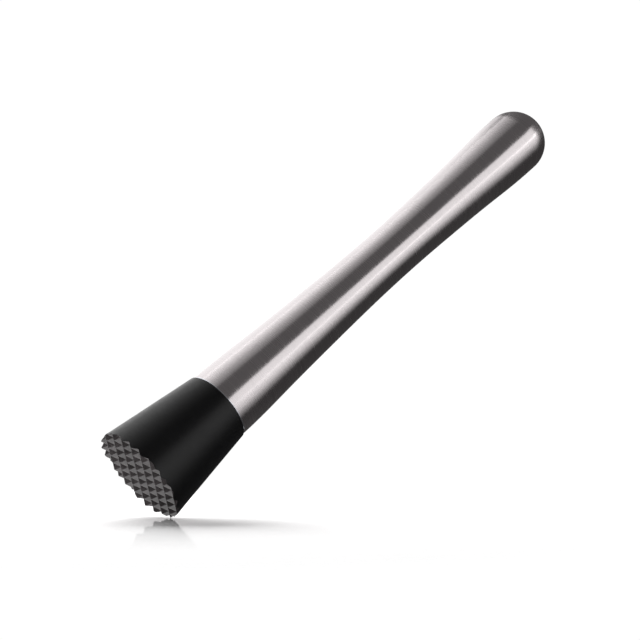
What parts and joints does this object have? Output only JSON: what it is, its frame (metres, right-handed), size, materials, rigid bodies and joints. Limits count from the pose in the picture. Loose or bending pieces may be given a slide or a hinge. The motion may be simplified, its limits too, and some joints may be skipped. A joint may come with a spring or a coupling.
{
  "type": "bar muddler",
  "caption": "Upright bar muddler: slim brushed-steel hourglass handle with a domed end, and a black conical head with a pyramid-toothed face. The two unscrew.",
  "frame": {"origin": "centre of the plane through the tooth tips, where the tool stands on its head", "axes": "+Z along the handle towards the dome; X and Y along the two rows of teeth"},
  "size_m": [0.035, 0.035, 0.205],
  "materials": {
    "brushed_steel": "stainless steel, brushed round the handle",
    "turned_steel": "lathe-turned stainless steel",
    "fastener_steel": "plain stainless fastener",
    "silicone": "grey food-grade silicone",
    "black_nylon": "satin moulded nylon",
    "brass": "knurled and turned"
  },
  "bodies": {
    "head": {"head_body": "black_nylon", "head_insert": "brass"},
    "seal": {"seal_ring": "silicone"},
    "handle": {"handle_shell": "brushed_steel", "handle_dome": "brushed_steel", "mouth_plug": "turned_steel", "head_stud": "fastener_steel", "lock_washer": "fastener_steel", "stud_nut": "fastener_steel"}
  },
  "joints": [
    {"name": "handle_lift", "type": "slide", "parent": "head", "child": "seal", "axis": [0, 0, 1], "range_m": [0, 0.015]},
    {"name": "handle_turn", "type": "hinge", "parent": "seal", "child": "handle", "pos_m": [0, 0, 0], "axis": [0, 0, 1], "range_deg": [0, 4320]}
  ],
  "couplings": [
    {"joint": "handle_turn", "follows": "handle_lift", "rad_per_m": 5026.5}
  ]
}
